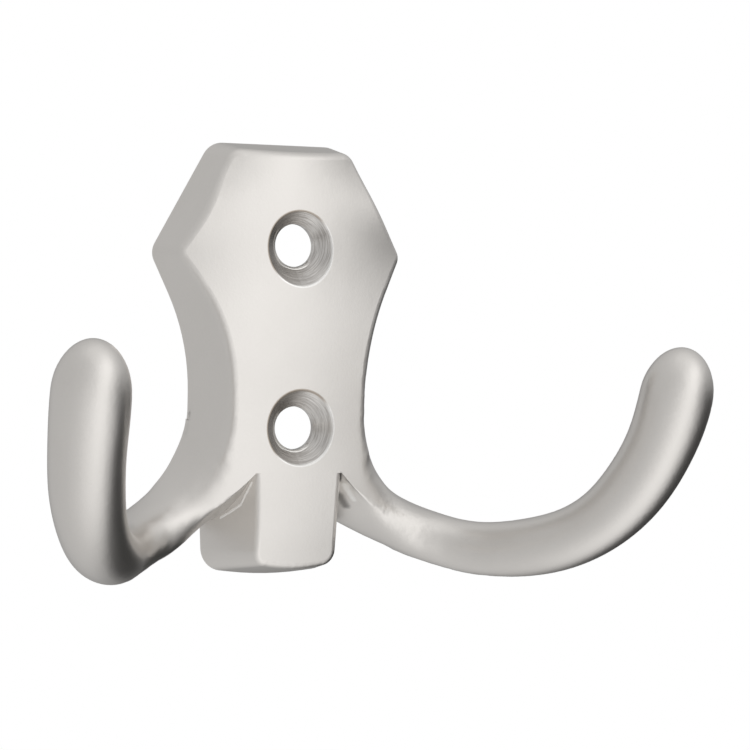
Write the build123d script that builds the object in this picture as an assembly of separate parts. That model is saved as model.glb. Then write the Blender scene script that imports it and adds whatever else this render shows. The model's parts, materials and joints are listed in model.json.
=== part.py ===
from build123d import *
import os
from math import atan2, cos, degrees, pi, radians, sin, sqrt, tan

os.makedirs("parts", exist_ok=True)

# Double robe hook, cast in one piece with a hollow back. Millimetres, Z up.
# The wall plane is Y = 0, the front faces -Y, and the origin lies midway between the screw holes.

# Countersunk screw holes
hole_spacing = 20.0
bore_radius = 2.35
sink_radius = 4.15
bore_length = 0.45
sink_depth = sink_radius - bore_radius

# Back plate outline where it meets the wall
top_height = 21.2
corner_height = 9.0
corner_half_width = 14.9
shoulder_angle = 30.0
flank_angle = 27.0
flank_length = 5.03
waist_radius = 24.0
waist_length = 1.6
flare_radius = 9.7
flare_drop = 4.6
neck_half_width = 6.5
neck_height = -14.9
tongue_half_width = 8.93
tongue_top_height = -8.0
tongue_taper = 3.0
tongue_bottom = -26.4
bottom_rise = 0.25
top_corner_radius = 2.6
side_corner_radius = 2.0
tongue_corner_radius = 2.65

# The waist curve runs on from the flank, and the flare from the waist
flank_turn = radians(flank_angle)
waist_half_width = corner_half_width - flank_length * sin(flank_turn) - waist_radius * (1.0 - cos(flank_turn))
waist_height = corner_height - flank_length * cos(flank_turn) - waist_radius * sin(flank_turn)
flare_height = waist_height - waist_length
flare_end_height = flare_height - flare_drop

# Draft of the edge walls, and how much the outline's corners sharpen per millimetre of depth
side_draft = 12.8
flare_slant = 4.0
top_draft = 10.0
tongue_draft = 24.4
bottom_draft = 8.0
corner_sharpening = 0.13

# Front face, bottom to top: depth from the wall on the centre line, and radius of its crown
crown_heights = (-29.0, -23.0, -18.0, -12.0, -6.0, 0.0, 5.0, 10.0, 15.0, 25.0)
crown_depths = (6.6, 7.45, 7.82, 7.95, 8.03, 7.92, 7.65, 7.25, 6.75, 5.85)
crown_radii = (60.0, 64.0, 68.0, 68.0, 68.0, 66.0, 45.0, 38.0, 38.0, 38.0)
crown_reach = 18.0

# The drafted walls run on to a clearance in front of the deepest crown
draft_clearance = 0.57
draft_depth = max(crown_depths) + draft_clearance

# Hollow back: wall thickness behind the front face and round the edge
face_wall = sink_depth + bore_length
edge_wall = 2.2

# Rounding of the front edge, round the head and round the tongue
head_ridge = 1.0
tongue_ridge = 0.8

# Hook arm, right-hand side: centre line from inside the plate to the tip
arm_path = (
    (4.8, -3.8, -14.2),
    (7.7, -3.8, -17.0),
    (11.4, -3.7, -19.65),
    (15.2, -3.7, -21.2),
    (19.5, -6.2, -22.75),
    (24.8, -13.0, -23.1),
    (29.8, -20.0, -20.5),
    (33.4, -25.8, -13.8),
    (34.6, -29.2, -6.4),
    (34.85, -30.1, -0.3),
)

# Arm section along the path, as fractions of its length: heights above and below, and half width
arm_stops = (0.0, 0.06, 0.13, 0.21, 0.29, 0.55, 0.8, 1.0)
arm_rise = (3.9, 3.7, 3.35, 3.0, 2.85, 3.3, 3.8, 4.2)
arm_fall = (2.4, 2.15, 1.85, 3.25, 2.95, 3.3, 3.8, 4.2)
arm_width = (4.2, 3.8, 3.4, 3.2, 3.15, 3.6, 4.0, 4.2)

# The arm turns forward from the wall while its section goes from a drafted root to a circle
arm_heading = 54.0
turn_start = 0.18
turn_end = 0.48
underside_lean = (0.5, 0.47, 0.32, -0.13, 0.0, 0.0, 0.0, 0.0)
root_squareness = 7.0
underside_squareness = 2.1
round_from = 0.4
slant_end = 0.1
lean_start = 0.17
lean_end = 0.38

# The root's back runs past the wall plane, where it is cut flat, and its front follows the plate's crown
back_overlap = 1.3
back_start = 0.14
back_end = 0.22
facing_lift = 0.05
facing_start = 0.06
facing_end = 0.12
free_start = 0.13
free_end = 0.27
facet_reach = 10.6
facet_height = -8.0
flare_tuck = 0.12
flare_step = 0.03
flare_tuck_end = 0.09

# Side of the plain blocks that trim the arm, larger than the hook
cutter = 120.0

# Sections of the arm and of its domed tip
arm_sections = 13
section_crowding = 1.3
section_points = 32
corner_crowding = 0.45
tip_length = 6.2
tip_stations = (0.3, 0.6, 0.82, 0.95)


def blend(place, low, high):
    u = min(max((place - low) / (high - low), 0.0), 1.0)
    return u * u * (3.0 - 2.0 * u)


def along(place, stops, values):
    for i in range(len(stops) - 1):
        if place <= stops[i + 1]:
            u = blend(place, stops[i], stops[i + 1])
            return values[i] * (1.0 - u) + values[i + 1] * u
    return values[-1]


def drop(depth, angle):
    return depth * tan(radians(angle))


def meet(p, p_angle, q, q_angle):
    """Where a line through p at one angle crosses a line through q at another."""
    a = radians(p_angle)
    b = radians(q_angle)
    dx = q[0] - p[0]
    dz = q[1] - p[1]
    t = (dx * sin(b) - dz * cos(b)) / (cos(a) * sin(b) - sin(a) * cos(b))
    return (p[0] + t * cos(a), p[1] + t * sin(a))


def corner_arc(before, corner, after, radius):
    """Start, middle and end of the arc that rounds a corner between two points."""
    a = Vector(before[0] - corner[0], before[1] - corner[1]).normalized()
    b = Vector(after[0] - corner[0], after[1] - corner[1]).normalized()
    half = radians(a.get_angle(b) / 2.0)
    length = radius / tan(half)
    inward = (a + b).normalized() * (radius / sin(half) - radius)
    start = (corner[0] + a.X * length, corner[1] + a.Y * length)
    end = (corner[0] + b.X * length, corner[1] + b.Y * length)
    return start, (corner[0] + inward.X, corner[1] + inward.Y), end


def outline_edge(step, hand, depth):
    points = [Vector(hand * p[0], -depth, p[1]) for p in step]
    if hand < 0.0:
        points.reverse()
    if len(points) == 2:
        return Edge.make_line(points[0], points[1])
    return Edge.make_three_point_arc(points[0], points[1], points[2])


def head_steps(side, top, shrink):
    """Top edge, shoulder, side corner and flank, from the centre line down to the waist."""
    up = 90.0 + shoulder_angle
    down = 90.0 - flank_angle
    shoulder = (corner_half_width - side / cos(radians(shoulder_angle)), corner_height)
    flank = (corner_half_width - side / cos(radians(flank_angle)), corner_height)
    peak = meet(shoulder, up, flank, down)
    crest = (0.0, top_height - top)
    head = meet(crest, 0.0, peak, up)
    centre_x = waist_half_width + waist_radius
    bend = waist_radius + side
    turn = radians(flank_angle)
    rise = (centre_x - bend * cos(turn), waist_height + bend * sin(turn))
    hollow = (centre_x - bend * cos(turn / 2.0), waist_height + bend * sin(turn / 2.0))
    waist = (waist_half_width - side, waist_height)
    top_arc = corner_arc(crest, head, peak, top_corner_radius - shrink)
    side_arc = corner_arc(head, peak, rise, side_corner_radius - shrink)
    return [
        (crest, top_arc[0]),
        top_arc,
        (top_arc[2], side_arc[0]),
        side_arc,
        (side_arc[2], rise),
        (rise, hollow, waist),
    ]


def flare_steps(side, slant):
    """Waist and the flare that leads out on to the top of the arm, lower towards the front."""
    waist = (waist_half_width - side, waist_height)
    start = (waist_half_width - side, flare_height - slant)
    centre_x = waist_half_width + flare_radius
    sweep = flare_radius + side
    fall = start[1] - flare_end_height
    end = (centre_x - sqrt(sweep**2 - fall**2), flare_end_height)
    middle = (centre_x - sqrt(sweep**2 - (fall / 2.0) ** 2), start[1] - fall / 2.0)
    return [(waist, start), (start, middle, end)]


def tongue_steps(tongue, bottom, shrink):
    """Tapered tongue with rounded lower corners and a slightly bowed bottom edge."""
    top = (tongue_half_width - tongue, tongue_top_height)
    base = (0.0, tongue_bottom + bottom)
    foot = (top[0] / 2.0, base[1] + bottom_rise)
    slope = degrees(atan2(2.0 * (foot[1] - base[1]), foot[0]))
    heel = meet(foot, slope, top, 90.0 - tongue_taper)
    low_arc = corner_arc(top, heel, foot, tongue_corner_radius - shrink)
    bow = (foot[0] / 2.0, base[1] + (foot[1] - base[1]) / 4.0)
    return [
        ((0.0, tongue_top_height), top),
        (top, low_arc[0]),
        low_arc,
        (low_arc[2], foot),
        (foot, bow, base),
    ]


def closed_outline(steps, depth):
    edges = [outline_edge(step, 1.0, depth) for step in steps]
    edges += [outline_edge(step, -1.0, depth) for step in reversed(steps)]
    return Wire(edges)


def head_outline(depth, wall):
    """Closed outline of the head at a depth, set in by a wall thickness."""
    side = drop(depth, side_draft) + wall
    steps = head_steps(side, drop(depth, top_draft) + wall, depth * corner_sharpening)
    steps += flare_steps(side, drop(depth, flare_slant))
    neck = (neck_half_width - wall, neck_height + wall)
    steps.append((steps[-1][-1], neck))
    steps.append((neck, (0.0, neck[1])))
    return closed_outline(steps, depth)


def tongue_outline(depth, wall):
    tongue = drop(depth, tongue_draft) + wall
    bottom = drop(depth, bottom_draft) + wall
    return closed_outline(tongue_steps(tongue, bottom, depth * corner_sharpening), depth)


def drafted_block(outline, wall):
    return Solid.make_loft([outline(0.0, wall), outline(draft_depth, wall)], True)


def crown_section(height, depth, radius, back):
    sag = radius - sqrt(radius**2 - crown_reach**2)
    left = Vector(-crown_reach, sag - depth, height)
    right = Vector(crown_reach, sag - depth, height)
    far_left = Vector(-crown_reach, back, height)
    far_right = Vector(crown_reach, back, height)
    return Wire([
        Edge.make_three_point_arc(left, Vector(0.0, -depth, height), right),
        Edge.make_line(right, far_right),
        Edge.make_line(far_right, far_left),
        Edge.make_line(far_left, left),
    ])


def crowned_body(inset, back):
    """Everything between the crowned front face, moved in by an inset, and a flat at Y = back."""
    stations = zip(crown_heights, crown_depths, crown_radii)
    return Solid.make_loft([crown_section(z, depth - inset, radius, back) for z, depth, radius in stations])


def crowned_block(outline, ridge, low, high):
    """Drafted block under the crowned face, with its front edge rounded between two heights."""
    block = drafted_block(outline, 0.0) & crowned_body(0.0, draft_depth)
    forward = block.faces().filter_by(lambda face: face.normal_at().Y < 0.0)
    front = max(forward, key=lambda face: face.area)
    return block.fillet(ridge, [edge for edge in front.edges() if low < edge.center().Z < high])


def back_plate():
    """The waisted head and the narrower tongue that runs down out of it."""
    head = crowned_block(head_outline, head_ridge, flare_end_height, top_height)
    return head + crowned_block(tongue_outline, tongue_ridge, tongue_bottom, tongue_top_height)


def crown_depth(x, z):
    """Depth of the crowned face from the wall at a point."""
    radius = along(z, crown_heights, crown_radii)
    return along(z, crown_heights, crown_depths) - radius + sqrt(radius**2 - x**2)


def flare_rise(centre, upward, depth, tuck):
    """How far up the section the flare's wall stands at a depth, less a small tuck."""
    radius = flare_radius + drop(depth, side_draft) - tuck
    gap_x = centre.X - waist_half_width - flare_radius
    gap_z = centre.Z - flare_height + drop(depth, flare_slant)
    linear = gap_x * upward.X + gap_z * upward.Z
    scale = upward.X**2 + upward.Z**2
    inside = linear**2 - scale * (gap_x**2 + gap_z**2 - radius**2)
    if inside <= 0.0 or gap_x >= 0.0:
        return 0.0
    return (-linear - sqrt(inside)) / scale


def arm_section(path, fraction, shrink):
    """Section across the path: a drafted, flat-backed soft square at the root, round further out."""
    centre = path.position_at(fraction)
    tangent = path.tangent_at(fraction)
    heading = radians(arm_heading * blend(fraction, turn_start, turn_end))
    outward = Vector(-sin(heading), -cos(heading), 0.0)
    outward = (outward - tangent * outward.dot(tangent)).normalized()
    upward = outward.cross(tangent)
    rise = along(fraction, arm_stops, arm_rise)
    width = along(fraction, arm_stops, arm_width)
    squareness = 1.0 - blend(fraction, 0.0, round_from)
    lean = tan(radians(side_draft)) * (1.0 - blend(fraction, lean_start, lean_end))
    lean += tan(radians(flare_slant)) * (1.0 - blend(fraction, slant_end, lean_start))
    on_wall = 1.0 - blend(fraction, back_start, back_end)
    back = width + (back_overlap - centre.Y - width) * on_wall
    lift = facing_lift * (1.0 - 2.0 * blend(fraction, facing_start, facing_end))
    faced = 1.0 - blend(fraction, free_start, free_end)
    tuck = flare_tuck - (flare_tuck + flare_step) * blend(fraction, 0.0, flare_tuck_end)
    flare = flare_rise(centre, upward, width - centre.Y, tuck)
    top = max(rise - lean * width, flare)
    hang = along(fraction, arm_stops, underside_lean)
    bottom = along(fraction, arm_stops, arm_fall) - hang * width
    points = []
    for k in range(section_points):
        turn = 2.0 * pi * k / section_points
        angle = turn + corner_crowding * sin(4.0 * turn) / 4.0
        above = cos(angle) > 0.0
        power = 2.0 + ((root_squareness if above else underside_squareness) - 2.0) * squareness
        reach = (abs(cos(angle)) ** power + abs(sin(angle)) ** power) ** (-1.0 / power)
        out_share = reach * sin(angle)
        up_share = reach * cos(angle)
        up = up_share * (top if above else bottom)
        front = width
        if faced > 0.0 and out_share > 0.0:
            place = centre + upward * up
            front += (crown_depth(place.X, place.Z) + centre.Y + lift - width) * faced
        out = out_share * (front if out_share > 0.0 else back)
        up += (lean if above else hang) * (width - out) * up_share
        points.append(centre + (upward * up + outward * out) * shrink)
    stations = [k / section_points for k in range(section_points + 1)]
    return Wire([Edge.make_spline(points, periodic=True, parameters=stations)])


def hook_arm():
    """Arm lofted along its path, closed by a dome whose sections shrink as a circle does."""
    path = Edge.make_spline([Vector(*point) for point in arm_path])
    tip_start = 1.0 - tip_length / path.length
    places = [tip_start * (k / arm_sections) ** section_crowding for k in range(arm_sections + 1)]
    sections = [arm_section(path, place, 1.0) for place in places]
    for u in tip_stations:
        sections.append(arm_section(path, tip_start + (1.0 - tip_start) * u, sqrt(1.0 - u * u)))
    sections.append(Vertex(*path.position_at(1.0)))
    return Solid.make_loft(sections) - ahead_of_front() - behind_wall()


def ahead_of_front():
    """The space in front of the crowned face, over the plate and the faced-off root of the arm."""
    ahead = crowned_body(0.0, -draft_depth - crown_reach)
    over_plate = Pos(0.0, 0.0, facet_height + cutter / 2.0) * Box(cutter, cutter, cutter)
    over_root = Pos(0.0, 0.0, facet_height - cutter / 2.0) * Box(2.0 * facet_reach, cutter, cutter)
    return ahead & (over_plate + over_root)


def behind_wall():
    return Pos(0.0, cutter / 2.0, 0.0) * Box(cutter, cutter, cutter)


def screw_hole(height):
    """Bore through the face with a countersink whose rim lies in the crowned face."""
    depth = along(height, crown_heights, crown_depths)
    front = Plane((0.0, 0.0, 0.0), z_dir=(0.0, -1.0, 0.0))
    spare = bore_radius / 2.0
    cone = Solid.make_cone(bore_radius, sink_radius + spare, sink_depth + spare, front)
    bore = Solid.make_cylinder(bore_radius, 2.0 * draft_depth, front)
    return Pos(0.0, sink_depth - depth, height) * cone + Pos(0.0, 0.0, height) * bore


def double_hook():
    arm = hook_arm()
    hollow = drafted_block(head_outline, edge_wall) + drafted_block(tongue_outline, edge_wall)
    hollow = hollow & crowned_body(face_wall, draft_depth)
    body = back_plate() + arm + mirror(arm, Plane.YZ) - hollow
    for height in (hole_spacing / 2.0, -hole_spacing / 2.0):
        body -= screw_hole(height)
    return body


if __name__ == "__main__":
    export_step(double_hook(), "parts/double_hook.step")
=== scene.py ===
import json
import math

import bmesh
import bpy
import numpy as np
from mathutils import Matrix, Vector

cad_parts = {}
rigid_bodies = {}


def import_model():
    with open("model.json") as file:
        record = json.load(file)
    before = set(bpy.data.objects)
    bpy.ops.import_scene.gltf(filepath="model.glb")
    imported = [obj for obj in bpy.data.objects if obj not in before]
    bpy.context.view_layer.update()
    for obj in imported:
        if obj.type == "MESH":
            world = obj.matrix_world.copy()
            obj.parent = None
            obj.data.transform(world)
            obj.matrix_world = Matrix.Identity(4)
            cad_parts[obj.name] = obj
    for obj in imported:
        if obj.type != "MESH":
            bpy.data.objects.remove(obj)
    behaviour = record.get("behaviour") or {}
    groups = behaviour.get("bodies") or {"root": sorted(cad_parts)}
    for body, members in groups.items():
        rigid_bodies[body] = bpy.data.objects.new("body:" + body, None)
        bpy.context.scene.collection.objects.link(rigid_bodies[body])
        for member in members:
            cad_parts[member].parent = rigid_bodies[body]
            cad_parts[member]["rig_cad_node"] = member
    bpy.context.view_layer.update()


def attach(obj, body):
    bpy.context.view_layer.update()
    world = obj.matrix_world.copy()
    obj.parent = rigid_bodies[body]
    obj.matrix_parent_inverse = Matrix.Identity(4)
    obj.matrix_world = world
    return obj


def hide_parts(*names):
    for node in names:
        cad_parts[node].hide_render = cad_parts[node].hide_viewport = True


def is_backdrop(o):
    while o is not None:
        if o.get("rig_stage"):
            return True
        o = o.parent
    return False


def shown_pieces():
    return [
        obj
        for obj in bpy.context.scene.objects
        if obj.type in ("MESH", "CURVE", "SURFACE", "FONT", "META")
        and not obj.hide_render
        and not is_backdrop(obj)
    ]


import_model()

# Places on the hook, in metres. The two countersunk holes stand one above the other. For the upper and
# the lower: where the cone would come to its point, where the front face lies on the hole's axis, how
# steeply the face leans back away from the middle of the plate, and the radius of the face's crown
hole_height = 0.010
bore_radius = 0.00235
cone_points = (-0.00310, -0.00382)
face_levels = (-0.00725, -0.00797)
face_leans = (0.0900, 0.0133)
face_crowns = (0.038, 0.068)

# Bent lines that the marks follow: the thin flash on the tongue's left bevel, which carries a painted
# highlight, then, at the right-hand arm's root, the painted shade in a crease and in a shut pocket, the
# painted highlight on a small facet, and the mottled patch
flash_line = (
    (-0.00540, -0.00687, -0.01594),
    (-0.00565, -0.00619, -0.01706),
    (-0.00594, -0.00538, -0.01841),
    (-0.00650, -0.00407, -0.01925),
    (-0.00705, -0.00275, -0.01998),
)
# Crease and shut pocket, darkened with painted shade
crease_shade_line = ((0.00520, -0.00745, -0.01490), (0.00545, -0.00680, -0.01585))
pocket_shade_line = ((0.00620, -0.00550, -0.01750), (0.00730, -0.00490, -0.01870))
# Small facet whose near-white colour is a painted highlight
facet_highlight_line = ((0.00615, -0.00680, -0.01635), (0.00775, -0.00610, -0.01775))
mottled_line = ((0.01150, -0.00700, -0.01880), (0.01600, -0.00680, -0.02130))

# Marks on the metal, painted highlights and painted shade among them, in metres: how far off each one
# begins to show, how far off it is full, and, where those are not nothing and the whole, how much of it
# there is at the two
cone_fade = (0.00010, 0.00006)
cone_end_fade = (0.0048, 0.0047)
bore_fade = (bore_radius + 0.00004, bore_radius + 0.00002)
rim_fade = (0.00019, 0.00007)
burr_radius = bore_radius + 0.00016
burr_fade = (0.00017, 0.00006)
flash_fade = (0.00017, 0.00007)
facet_highlight_fade = (0.00055, 0.00015, 0.0, 0.85)
pocket_shade_fade = (0.00080, 0.00010, 0.0, 0.70)
crease_shade_fade = (0.00036, 0.00008, 0.0, 0.80)
mottled_fade = (0.0030, 0.0006)
mark_wander = 0.00025

# The sides of a hole that its marks keep to, told apart in the same way across the hole: the rim's painted
# highlight on its lower right, the painted shade on the cone's left, and the burr lip's painted highlight
# on its lower left
rim_highlight_side_fade = (-0.0012, 0.0016)
lower_left_fade = (0.0004, -0.0012)
shade_slope = 0.35
shade_fade = (-0.0004, -0.0030, 0.0, 0.65)
burr_widening = (-0.0008, -0.0020, 1.0, 2.4)

# Turning marks: rings for each metre of radius, and how much they change round the axis
ring_density = 14000.0
ring_sweep = 1.3
hole_offset = 7.0
ring_contrast = (0.36, 0.66)

# Cloudy patterns: scale, detail and roughness; the plate's mottle is two of them mixed
tone_pattern = (110.0, 6.0, 0.6)
grain_pattern = (3200.0, 3.0, 0.7)
scaly_pattern = (1500.0, 2.0, 0.5)
ring_pattern = (1.0, 3.0, 0.6)
tone_share = 0.65
grain_share = 0.35
burr_highlight_breaks = (0.40, 0.55, 0.45, 1.0)

# Metal colours, with painted shade and painted highlights among them: the darker and the lighter of
# each pair, and the single ones
plate_colours = ((0.685, 0.660, 0.630), (0.775, 0.750, 0.720))
turned_colours = ((0.46, 0.44, 0.42), (0.72, 0.70, 0.675))
shaded_colour = (0.17, 0.155, 0.14)
# Rim of the countersinks: painted shade in dark brown, and a painted highlight in near-white on its lower
# right
rim_shade_and_highlight_colours = ((0.33, 0.28, 0.23), (0.97, 0.96, 0.94))
rim_light_share = 0.75
# The burr is a real raised lip; its near-white colour, kept to the lower left, is a painted highlight
burr_highlight_colour = (0.97, 0.96, 0.93)
# Near-white of the flash and of the small facet at the right-hand root: painted highlights
flash_highlight_colour = (0.99, 0.98, 0.96)
# Near-black in the crease and the shut pocket: painted shade
pocket_shade_colour = (0.12, 0.115, 0.11)
plate_roughness = 0.36
turned_roughness = 0.27

# Fine relief, in metres
grain_height = 0.000022
scaly_height = 0.00011
ring_height = 0.000005
burr_height = 0.00013
flash_height = 0.00007
relief_strength = 0.6

# Photograph's camera
eye = Vector((-0.177818, -0.351071, 0.002360))
view_right = Vector((0.87819209, -0.47790785, 0.01956393))
view_up = Vector((-0.00930561, 0.02382345, 0.99967287))
view_ahead = Vector((0.47821759, 0.87808686, -0.01647434))
sensor_mm = 36.0
focal_px = 3538.43
frame_px = 750.0
nearest_seen = 0.01

# Stage
floor_height = -0.060
floor_half = 3.0
floor_colour = (0.85, 0.85, 0.85, 1.0)
white_from = 0.09
white_by = 0.13
near_white = 0.75
backdrop_edge = math.cos(math.radians(8.0))
backdrop_full = math.cos(math.radians(5.0))
lamp_place = (0.15, -0.45, 0.75)
lamp_aim = (0.0, -0.01, 0.0)
lamp_side = 1.2
lamp_watts = 0.3

# Studio light seen in the metal: an even level, and pools of light or, where negative, dark flags,
# each with its azimuth and elevation in degrees, tightness and strength
studio_level = 0.61
studio_floor_level = 0.03
studio_pools = (
    (-25.0, 80.0, 6.5, 0.20),
    (35.0, 24.0, 6.6, 0.68),
    (41.0, -32.0, 2.8, 1.33),
    (57.0, -21.0, 4.5, -1.50),
    (108.0, -31.0, 10.2, -1.50),
    (154.0, 0.0, 9.8, -0.50),
    (52.0, 2.0, 13.0, -0.24),
    (17.0, -4.0, 12.0, 0.12),
    (30.0, 52.0, 7.0, -0.08),
    (72.0, -27.0, 10.0, 0.16),
)

# Arm roots, given for the right-hand side in millimetres: the box where the mesh is made denser, the
# places where it is eased, each with its reach, and a pucker on the side wall near the plate's rim
root_low = (3.0, -12.0, -27.0)
root_high = (22.0, 1.0, -3.0)
dense_edge = 0.7
dense_rounds = 5
ease_places = (
    ((10.0, -6.5, -8.0), 2.2),
    ((10.6, -6.5, -10.5), 2.6),
    ((11.5, -6.5, -13.5), 2.6),
    ((13.0, -7.0, -18.0), 2.8),
    ((15.0, -7.0, -21.0), 3.0),
    ((17.5, -7.5, -22.5), 2.6),
)
wall_pucker = (10.3, -0.7, -9.4)
pucker_reach = 1.0

# How close corners are, in metres, when they are joined: in those boxes, and along all other seams
root_join = 0.000015
seam_join = 0.000002

# Easing: its strength and rounds, where it starts and over what length it grows from nothing to full,
# and the strengths of easing and of swelling past which a point's shading is worked out afresh
ease_strength = 0.6
ease_rounds = 40
last_rounds = 8
normal_rounds = 3
off_wall = (0.8, 2.0)
off_middle = (7.3, 2.6)
pucker_off_wall = (0.02, 0.90)
fresh_from_ease = 0.12
fresh_from_swell = 0.3

# Small swells of the arm roots: place, outward direction, amount and reach
swells = (
    ((13.5, -6.2, -22.4), (0.0, -0.80, -0.60), 0.40, 1.8),
    ((16.5, -6.8, -22.8), (0.0, -0.80, -0.60), 0.45, 2.2),
    ((19.5, -8.4, -23.6), (0.0, -0.80, -0.60), 0.30, 2.2),
    ((15.0, -6.6, -20.5), (0.0, -1.0, 0.0), 0.60, 2.2),
    ((13.2, -4.5, -24.0), (0.0, 0.0, -1.0), -0.60, 1.8),
)


def bell(gap, reach):
    """Bell curve: 1 where the gap is nothing, e to the power of minus a half at the reach."""
    return np.exp(-0.5 * (gap / reach) ** 2)


def growing(distance, start, length):
    """0 up to the start, then a straight rise to 1 over the length."""
    return np.clip((distance - start) / length, 0.0, 1.0)


def offsets(points, centre):
    """Steps to the points from a place on the right-hand side, or from its mirror image on the left."""
    steps = points - np.array(centre)
    steps[:, 0] = np.abs(points[:, 0]) - centre[0]
    return steps


def gathered(points, places):
    """Largest of the places' bell curves at each point, measured across the front and up, not in depth."""
    share = np.zeros(len(points))
    for centre, reach in places:
        steps = offsets(points, centre)
        share = np.maximum(share, bell(np.hypot(steps[:, 0], steps[:, 2]), reach))
    return share


def numbers(items, name, width, kind=np.float32):
    """One property of a mesh's items as an array with a row for each item."""
    values = np.empty(len(items) * width, dtype=kind)
    items.foreach_get(name, values)
    return values.reshape(-1, width)


def unit(vectors):
    """Vectors divided by their own lengths."""
    return vectors / np.maximum(np.linalg.norm(vectors, axis=1), 1e-12)[:, None]


def inside_roots(points):
    """Which points, in millimetres, lie in the boxes round the two arm roots."""
    folded = offsets(points, (0.0, 0.0, 0.0))
    return np.all((folded > root_low) & (folded < root_high), axis=1)


def solid_copy(node):
    """Joined copy of the solid's mesh that keeps its true surface normals as an attribute."""
    mesh = node.data.copy()
    mesh.transform(node.matrix_world)
    true_normals = numbers(mesh.corner_normals, "vector", 3)
    kept = mesh.attributes.new("true_normal", "FLOAT_VECTOR", "CORNER")
    kept.data.foreach_set("vector", true_normals.ravel())
    for name in ("custom_normal", "sharp_edge", "sharp_face"):
        if name in mesh.attributes:
            mesh.attributes.remove(mesh.attributes[name])
    near = np.flatnonzero(inside_roots(numbers(mesh.vertices, "co", 3) * 1000.0))
    shape = bmesh.new()
    shape.from_mesh(mesh)
    shape.verts.ensure_lookup_table()
    bmesh.ops.remove_doubles(shape, verts=[shape.verts[index] for index in near], dist=root_join)
    bmesh.ops.remove_doubles(shape, verts=shape.verts, dist=seam_join)
    shape.to_mesh(mesh)
    shape.free()
    return mesh


def densify(mesh):
    """Halve the long edges round the arm roots, until none is left or the rounds end."""
    for _ in range(dense_rounds):
        ends = (numbers(mesh.vertices, "co", 3) * 1000.0)[numbers(mesh.edges, "vertices", 2, np.int32)]
        long_edges = np.linalg.norm(ends[:, 1] - ends[:, 0], axis=1) > dense_edge
        chosen = np.flatnonzero(long_edges & inside_roots(ends.mean(axis=1)))
        if not len(chosen):
            return
        shape = bmesh.new()
        shape.from_mesh(mesh)
        shape.edges.ensure_lookup_table()
        bmesh.ops.subdivide_edges(shape, edges=[shape.edges[index] for index in chosen], cuts=1)
        bmesh.ops.triangulate(shape, faces=[face for face in shape.faces if len(face.verts) > 3])
        shape.to_mesh(mesh)
        shape.free()


def vertex_normals(points, corners):
    """Normal at each point: the cross products of two sides of every triangle round it, added up."""
    first, second, third = (points[corners[:, column]] for column in range(3))
    sides = np.cross(second - first, third - first)
    total = np.zeros_like(points)
    for column in range(3):
        np.add.at(total, corners[:, column], sides)
    return unit(total)


def neighbour_mean(values, links, counts):
    """Mean of each point's values over the points that an edge joins it to."""
    total = np.zeros_like(values)
    np.add.at(total, links[:, 0], values[links[:, 1]])
    np.add.at(total, links[:, 1], values[links[:, 0]])
    return total / counts[:, None]


def ease(points, links, counts, share, rounds):
    """Points moved, round after round, by their share of the way to their neighbours' mean."""
    for _ in range(rounds):
        points = points + (neighbour_mean(points, links, counts) - points) * share[:, None]
    return points


def eased(points, corners, links):
    """Arm roots eased and swollen, with fresh normals and the share that each point takes of them.

    A point's share of the easing is its bell curve round the places, cut off near the wall and near
    the middle of the plate, or the pucker's own bell curve where that is larger. A swell moves a point
    along the swell's direction by its amount, times its bell curve, times how far the surface faces
    that way.
    """
    depth = -points[:, 1]
    share = ease_strength * gathered(points, ease_places) * growing(depth, *off_wall)
    share *= growing(np.abs(points[:, 0]), *off_middle)
    near = bell(np.linalg.norm(offsets(points, wall_pucker), axis=1), pucker_reach)
    share = np.maximum(share, ease_strength * near * growing(depth, *pucker_off_wall))
    fresh_share = np.clip(share / fresh_from_ease, 0.0, 1.0)
    counts = np.maximum(np.bincount(links.ravel(), minlength=len(points)), 1).astype(float)
    points = ease(points, links, counts, share, ease_rounds)
    for centre, outward, amount, reach in swells:
        facing = np.maximum(vertex_normals(points, corners) @ np.array(outward), 0.0)
        swell = bell(np.linalg.norm(offsets(points, centre), axis=1), reach)
        fresh_share = np.clip(np.maximum(fresh_share, swell / fresh_from_swell), 0.0, 1.0)
        points = points + (amount * facing * swell)[:, None] * np.array(outward)
    points = ease(points, links, counts, share, last_rounds)
    fresh = vertex_normals(points, corners)
    for _ in range(normal_rounds):
        fresh = unit(fresh + neighbour_mean(fresh, links, counts))
    return points, fresh, fresh_share


def cast_body():
    """Copy of the solid with its arm roots eased into the plate, as the casting's blended surfaces are.

    Where nothing was eased, the shading is the solid's own; where it was, it is worked out afresh.
    """
    node = next(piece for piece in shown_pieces() if piece.get("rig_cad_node"))
    mesh = solid_copy(node)
    densify(mesh)
    points = numbers(mesh.vertices, "co", 3).astype(float) * 1000.0
    loops = numbers(mesh.loops, "vertex_index", 1, np.int32)[:, 0]
    links = numbers(mesh.edges, "vertices", 2, np.int32)
    carried = numbers(mesh.attributes["true_normal"].data, "vector", 3)
    points, fresh, new_share = eased(points, loops.reshape(-1, 3), links)
    mesh.vertices.foreach_set("co", (points / 1000.0).ravel())
    mesh.attributes.remove(mesh.attributes["true_normal"])
    mesh.update()
    mesh.polygons.foreach_set("use_smooth", [True] * len(mesh.polygons))
    weight = new_share[loops][:, None]
    mesh.normals_split_custom_set(unit(carried * (1.0 - weight) + fresh[loops] * weight))
    body = bpy.data.objects.new("hook_casting", mesh)
    bpy.context.scene.collection.objects.link(body)
    mesh.materials.clear()
    mesh.materials.append(None)
    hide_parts("double_hook")
    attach(body, "root")


def cleared(tree):
    """The same node tree with nothing in it."""
    for node in list(tree.nodes):
        tree.nodes.remove(node)
    return tree


def new_material(name):
    material = bpy.data.materials.new(name)
    material.use_nodes = True
    return material, cleared(material.node_tree)


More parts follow.
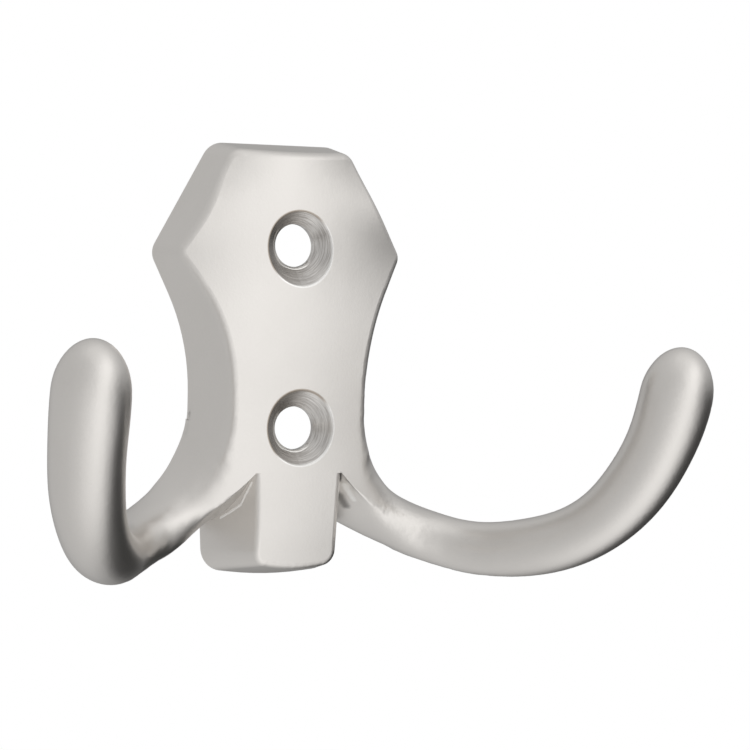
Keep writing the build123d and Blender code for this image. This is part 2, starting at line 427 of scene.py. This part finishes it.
def add(tree, kind, **settings):
    """A node with its properties set by name, and its unlinked inputs by socket name or index."""
    node = tree.nodes.new(kind)
    for key, value in settings.pop("inputs", {}).items():
        node.inputs[key].default_value = value
    for key, value in settings.items():
        setattr(node, key, value)
    return node


def wire(tree, source, output, target, socket):
    """Link from one node's output to another node's input, each by name or index."""
    tree.links.new(source.outputs[output], target.inputs[socket])


def maths(tree, operation, a, b=None, clamp=False):
    """A Math node; each operand is a number or an output socket."""
    node = tree.nodes.new("ShaderNodeMath")
    node.operation = operation
    node.use_clamp = clamp
    for index, operand in enumerate((a, b)):
        if operand is None:
            continue
        if isinstance(operand, (int, float)):
            node.inputs[index].default_value = operand
        else:
            tree.links.new(operand, node.inputs[index])
    return node.outputs[0]


def noise(tree, place, scale, detail, roughness):
    """Cloudy pattern, from 0 to 1."""
    settings = {"Scale": scale, "Detail": detail, "Roughness": roughness}
    node = add(tree, "ShaderNodeTexNoise", inputs=settings)
    tree.links.new(place, node.inputs["Vector"])
    return node.outputs[0]


def scaled(tree, value, factor):
    return maths(tree, "MULTIPLY", value, factor)


def gap_between(tree, a, b):
    return maths(tree, "ABSOLUTE", maths(tree, "SUBTRACT", a, b))


def ramp(tree, value, low, high, out_low=0.0, out_high=1.0):
    """Smooth rise from out_low to out_high as the value goes from low to high."""
    node = tree.nodes.new("ShaderNodeMapRange")
    node.interpolation_type = "SMOOTHSTEP"
    for index, number in ((1, low), (2, high), (3, out_low), (4, out_high)):
        node.inputs[index].default_value = number
    tree.links.new(value, node.inputs[0])
    return node.outputs[0]


def by_hole(tree, is_upper, pair):
    """The first of two numbers at the upper hole, the second at the lower."""
    upper, lower = pair
    return maths(tree, "ADD", scaled(tree, is_upper, upper - lower), lower)


def hole_marks(tree, coordinates):
    """Marks of the countersinks: turned metal, rim with painted shade and a painted highlight on its lower
    right, painted shade on the cone's left, burr lip with a painted highlight, and turned rings.

    The cone is where the place inward, towards the wall, plus the radius is the same number all round.
    The front face is a level that leans back away from the plate's middle, and bends back by the square
    of the place across over twice its crown's radius. The rim is where both hold at once.
    """
    split = add(tree, "ShaderNodeSeparateXYZ")
    tree.links.new(coordinates, split.inputs[0])
    across, inward, upward = split.outputs
    is_upper = maths(tree, "GREATER_THAN", upward, 0.0)
    away = maths(tree, "SUBTRACT", maths(tree, "ABSOLUTE", upward), hole_height)
    above = maths(tree, "MULTIPLY", away, by_hole(tree, is_upper, (1.0, -1.0)))
    square = maths(tree, "MULTIPLY", across, across)
    radius = maths(tree, "SQRT", maths(tree, "ADD", square, maths(tree, "MULTIPLY", away, away)))

    cone_gap = gap_between(tree, maths(tree, "ADD", inward, radius), by_hole(tree, is_upper, cone_points))
    leaned = maths(tree, "MULTIPLY", away, by_hole(tree, is_upper, face_leans))
    diameters = tuple(2.0 * crown for crown in face_crowns)
    crowned = maths(tree, "DIVIDE", square, by_hole(tree, is_upper, diameters))
    face = maths(tree, "ADD", maths(tree, "ADD", leaned, crowned), by_hole(tree, is_upper, face_levels))
    face_gap = gap_between(tree, inward, face)

    on_cone = maths(tree, "MULTIPLY", ramp(tree, cone_gap, *cone_fade), ramp(tree, radius, *cone_end_fade))
    turned = maths(tree, "MAXIMUM", on_cone, ramp(tree, radius, *bore_fade))
    rim = ramp(tree, maths(tree, "MAXIMUM", cone_gap, face_gap), *rim_fade)
    # Lower right side of the rim, where its painted highlight goes; the rest of the rim takes painted shade
    rim_highlight_side = ramp(tree, maths(tree, "SUBTRACT", across, above), *rim_highlight_side_fade)
    from_left = maths(tree, "SUBTRACT", across, scaled(tree, above, shade_slope))
    shaded = ramp(tree, from_left, *shade_fade)
    spread = ramp(tree, across, *burr_widening)
    burr_gap = maths(tree, "DIVIDE", gap_between(tree, radius, burr_radius), spread)
    lower_left = ramp(tree, maths(tree, "ADD", across, above), *lower_left_fade)
    # Burr lip, for its relief and for its painted highlight, kept to the lower left of the hole
    burr_and_highlight = maths(tree, "MULTIPLY", ramp(tree, burr_gap, *burr_fade), lower_left)
    burr_and_highlight = maths(tree, "MULTIPLY", burr_and_highlight, turned)

    turned_across = scaled(tree, maths(tree, "DIVIDE", across, radius), ring_sweep)
    turned_up = scaled(tree, maths(tree, "DIVIDE", above, radius), ring_sweep)
    ring_place = add(tree, "ShaderNodeCombineXYZ")
    tree.links.new(scaled(tree, radius, ring_density), ring_place.inputs[0])
    tree.links.new(turned_across, ring_place.inputs[1])
    tree.links.new(maths(tree, "ADD", turned_up, scaled(tree, is_upper, hole_offset)), ring_place.inputs[2])
    rings = noise(tree, ring_place.outputs[0], *ring_pattern)
    return turned, rim, rim_highlight_side, shaded, burr_and_highlight, rings


def segment_distance_group():
    """Node group: distance from a place to a straight line, given by its start and its run to the end.

    The nearest point is the start plus the run times the place's share of it, kept between 0 and 1.
    """
    tree = bpy.data.node_groups.new("Distance to a short line", "ShaderNodeTree")
    for name in ("Place", "Start", "Run"):
        tree.interface.new_socket(name, in_out="INPUT", socket_type="NodeSocketVector")
    tree.interface.new_socket("Distance", in_out="OUTPUT", socket_type="NodeSocketFloat")
    given = tree.nodes.new("NodeGroupInput")
    result = tree.nodes.new("NodeGroupOutput")
    offset = add(tree, "ShaderNodeVectorMath", operation="SUBTRACT")
    wire(tree, given, "Place", offset, 0)
    wire(tree, given, "Start", offset, 1)
    along = add(tree, "ShaderNodeVectorMath", operation="DOT_PRODUCT")
    wire(tree, offset, 0, along, 0)
    wire(tree, given, "Run", along, 1)
    whole = add(tree, "ShaderNodeVectorMath", operation="DOT_PRODUCT")
    wire(tree, given, "Run", whole, 0)
    wire(tree, given, "Run", whole, 1)
    share = maths(tree, "DIVIDE", along.outputs["Value"], whole.outputs["Value"], clamp=True)
    reached = add(tree, "ShaderNodeVectorMath", operation="SCALE")
    wire(tree, given, "Run", reached, 0)
    tree.links.new(share, reached.inputs["Scale"])
    gap = add(tree, "ShaderNodeVectorMath", operation="DISTANCE")
    wire(tree, offset, 0, gap, 0)
    wire(tree, reached, 0, gap, 1)
    tree.links.new(gap.outputs["Value"], result.inputs[0])
    return tree


def line_distance(tree, group, coordinates, corners):
    """Distance to a bent line, given by its corners."""
    nearest = None
    for start, end in zip(corners, corners[1:]):
        piece = add(tree, "ShaderNodeGroup", node_tree=group)
        piece.inputs["Start"].default_value = start
        piece.inputs["Run"].default_value = Vector(end) - Vector(start)
        tree.links.new(coordinates, piece.inputs["Place"])
        distance = piece.outputs[0]
        nearest = distance if nearest is None else maths(tree, "MINIMUM", nearest, distance)
    return nearest


def blended(tree, share, first, second):
    """Mix of two colours; each is a colour or an output socket."""
    node = add(tree, "ShaderNodeMix", data_type="RGBA")
    tree.links.new(share, node.inputs[0])
    for socket, colour in ((node.inputs[6], first), (node.inputs[7], second)):
        if isinstance(colour, tuple):
            socket.default_value = (*colour, 1.0)
        else:
            tree.links.new(colour, socket)
    return node.outputs[2]


def satin_nickel():
    """Fine-blasted satin nickel; turned metal in the countersinks, a thin flash by the tongue; painted
    highlights and painted shade in the countersinks, along the flash and at the right-hand arm's root.
    """
    material, tree = new_material("satin nickel")
    shader = add(tree, "ShaderNodeBsdfPrincipled", inputs={"Metallic": 1.0})
    output = add(tree, "ShaderNodeOutputMaterial")
    wire(tree, shader, "BSDF", output, "Surface")
    coordinates = add(tree, "ShaderNodeTexCoord").outputs["Object"]
    turned, rim, rim_highlight_side, shaded, burr_and_highlight, rings = hole_marks(tree, coordinates)
    group = segment_distance_group()

    tone = noise(tree, coordinates, *tone_pattern)
    grain = noise(tree, coordinates, *grain_pattern)
    scaly = noise(tree, coordinates, *scaly_pattern)
    wander = scaled(tree, maths(tree, "SUBTRACT", grain, 0.5), mark_wander)

    def along_line(line, fade):
        """Mark that follows a bent line, with its edges made uneven by the grain."""
        gap = line_distance(tree, group, coordinates, line)
        return ramp(tree, maths(tree, "ADD", gap, wander), *fade)

    # Thin flash ridge: real relief, with a painted highlight along it
    flash_and_highlight = along_line(flash_line, flash_fade)
    facet_highlight = along_line(facet_highlight_line, facet_highlight_fade)
    pocket_shade = along_line(pocket_shade_line, pocket_shade_fade)
    crease_shade = along_line(crease_shade_line, crease_shade_fade)
    mottled = ramp(tree, line_distance(tree, group, coordinates, mottled_line), *mottled_fade)

    mottle = maths(tree, "ADD", scaled(tree, tone, tone_share), scaled(tree, grain, grain_share))
    colour = blended(tree, mottle, *plate_colours)
    bare = blended(tree, ramp(tree, rings, *ring_contrast), *turned_colours)
    bare = blended(tree, shaded, bare, shaded_colour)
    colour = blended(tree, turned, colour, bare)
    # Painted highlight on the rim's lower right, painted shade on the rest of the rim
    rim_shade_and_highlight = blended(tree, rim_highlight_side, *rim_shade_and_highlight_colours)
    colour = blended(tree, scaled(tree, rim, rim_light_share), colour, rim_shade_and_highlight)
    broken = ramp(tree, tone, *burr_highlight_breaks)
    # Painted highlight on the burr lip, broken up by the tone pattern
    colour = blended(tree, maths(tree, "MULTIPLY", burr_and_highlight, broken), colour, burr_highlight_colour)
    # Painted highlight along the flash ridge
    colour = blended(tree, flash_and_highlight, colour, flash_highlight_colour)
    # Painted highlight on the small facet at the right-hand root
    colour = blended(tree, facet_highlight, colour, flash_highlight_colour)
    # Painted shade in the crease and the shut pocket
    colour = blended(tree, maths(tree, "MAXIMUM", pocket_shade, crease_shade), colour, pocket_shade_colour)
    tree.links.new(colour, shader.inputs["Base Color"])

    roughness = ramp(tree, turned, 0.0, 1.0, plate_roughness, turned_roughness)
    tree.links.new(roughness, shader.inputs["Roughness"])

    height = scaled(tree, grain, grain_height)
    for mark, rise in (
        (maths(tree, "MULTIPLY", scaly, mottled), scaly_height),
        (maths(tree, "MULTIPLY", rings, turned), ring_height),
        (burr_and_highlight, burr_height),
        (flash_and_highlight, flash_height),
    ):
        height = maths(tree, "ADD", height, scaled(tree, mark, rise))
    bump = add(tree, "ShaderNodeBump", inputs={"Strength": relief_strength, "Distance": 1.0})
    tree.links.new(height, bump.inputs["Height"])
    wire(tree, bump, "Normal", shader, "Normal")
    return material


def studio_floor():
    """Pale floor: white to the camera away from the hook, matt with a soft shadow under it."""
    material, tree = new_material("pale floor")
    matt = add(tree, "ShaderNodeBsdfDiffuse", inputs={"Color": floor_colour})
    white = add(tree, "ShaderNodeEmission", inputs={"Strength": 1.0})
    mixed = add(tree, "ShaderNodeMixShader")
    output = add(tree, "ShaderNodeOutputMaterial")
    place = add(tree, "ShaderNodeTexCoord").outputs["Object"]
    length = add(tree, "ShaderNodeVectorMath", operation="LENGTH")
    tree.links.new(place, length.inputs[0])
    share = ramp(tree, length.outputs["Value"], white_from, white_by, near_white, 1.0)
    path = add(tree, "ShaderNodeLightPath")
    tree.links.new(maths(tree, "MULTIPLY", share, path.outputs["Is Camera Ray"]), mixed.inputs[0])
    wire(tree, matt, 0, mixed, 1)
    wire(tree, white, 0, mixed, 2)
    wire(tree, mixed, 0, output, "Surface")
    mesh = bpy.data.meshes.new("pale floor")
    sides = ((-1, -1), (1, -1), (1, 1), (-1, 1))
    corners = [(x * floor_half, y * floor_half, floor_height) for x, y in sides]
    mesh.from_pydata(corners, [], [(0, 1, 2, 3)])
    floor = bpy.data.objects.new("pale floor", mesh)
    floor.data.materials.append(material)
    bpy.context.scene.collection.objects.link(floor)
    floor.visible_glossy = False
    floor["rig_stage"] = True


def heading(azimuth, elevation):
    """Direction from the hook: azimuth from straight out of the wall towards +X, elevation upwards."""
    turn = math.radians(azimuth)
    lift = math.radians(elevation)
    return Vector((math.sin(turn) * math.cos(lift), -math.cos(turn) * math.cos(lift), math.sin(lift)))


def towards(tree, place, direction):
    """How far the place lies in a direction: 1 straight along it, -1 straight away from it."""
    node = add(tree, "ShaderNodeVectorMath", operation="DOT_PRODUCT")
    node.inputs[1].default_value = direction
    tree.links.new(place, node.inputs[0])
    return node.outputs["Value"]


def studio_world():
    """White to the camera; in the metal, an even studio with soft pools of light and dark flags.

    A pool's level is its strength times e to the power of its tightness times the cosine of the angle
    from its middle, less one.
    """
    world = bpy.data.worlds.new("studio")
    bpy.context.scene.world = world
    world.use_nodes = True
    tree = cleared(world.node_tree)
    place = add(tree, "ShaderNodeTexCoord").outputs["Generated"]
    level = studio_level
    for azimuth, elevation, tightness, strength in studio_pools:
        along = maths(tree, "SUBTRACT", towards(tree, place, heading(azimuth, elevation)), 1.0)
        pool = maths(tree, "EXPONENT", scaled(tree, along, tightness))
        level = maths(tree, "ADD", scaled(tree, pool, strength), level)
    level = maths(tree, "MAXIMUM", level, studio_floor_level)
    backdrop = ramp(tree, towards(tree, place, view_ahead), backdrop_edge, backdrop_full)
    path = add(tree, "ShaderNodeLightPath")
    camera_ray, glossy_ray, clear_ray = (
        path.outputs[name] for name in ("Is Camera Ray", "Is Glossy Ray", "Is Transmission Ray")
    )
    mirrored = maths(tree, "ADD", glossy_ray, clear_ray, clamp=True)
    seen = maths(tree, "ADD", camera_ray, maths(tree, "MULTIPLY", mirrored, backdrop), clamp=True)
    strength = maths(tree, "ADD", maths(tree, "MULTIPLY", level, maths(tree, "SUBTRACT", 1.0, seen)), seen)
    background = add(tree, "ShaderNodeBackground", inputs={"Color": (1.0, 1.0, 1.0, 1.0)})
    tree.links.new(strength, background.inputs["Strength"])
    output = add(tree, "ShaderNodeOutputWorld")
    wire(tree, background, 0, output, "Surface")


def overhead_softbox():
    """Square lamp high up and to the camera's right, turned towards the hook."""
    lamp = bpy.data.lights.new("overhead softbox", "AREA")
    lamp.shape = "RECTANGLE"
    lamp.size = lamp_side
    lamp.size_y = lamp_side
    lamp.energy = lamp_watts
    holder = bpy.data.objects.new("overhead softbox", lamp)
    holder.location = lamp_place
    holder.rotation_euler = (Vector(lamp_aim) - Vector(lamp_place)).to_track_quat("-Z", "Y").to_euler()
    bpy.context.scene.collection.objects.link(holder)


def photograph_camera():
    """Camera at the place, turn and lens length fitted to the photograph."""
    camera = bpy.data.cameras.new("photograph view")
    camera.sensor_width = sensor_mm
    camera.lens = focal_px / frame_px * sensor_mm
    camera.clip_start = nearest_seen
    holder = bpy.data.objects.new("photograph view", camera)
    turn = Matrix((view_right, view_up, -view_ahead)).transposed().to_4x4()
    holder.matrix_world = Matrix.Translation(eye) @ turn
    bpy.context.scene.collection.objects.link(holder)
    bpy.context.scene.camera = holder


def dress(material):
    """Give every shown piece the material."""
    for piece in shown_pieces():
        for slot in piece.material_slots:
            slot.link = "OBJECT"
            slot.material = material


cast_body()
dress(satin_nickel())
studio_floor()
studio_world()
overhead_softbox()
photograph_camera()
bpy.context.scene.view_settings.view_transform = "Standard"
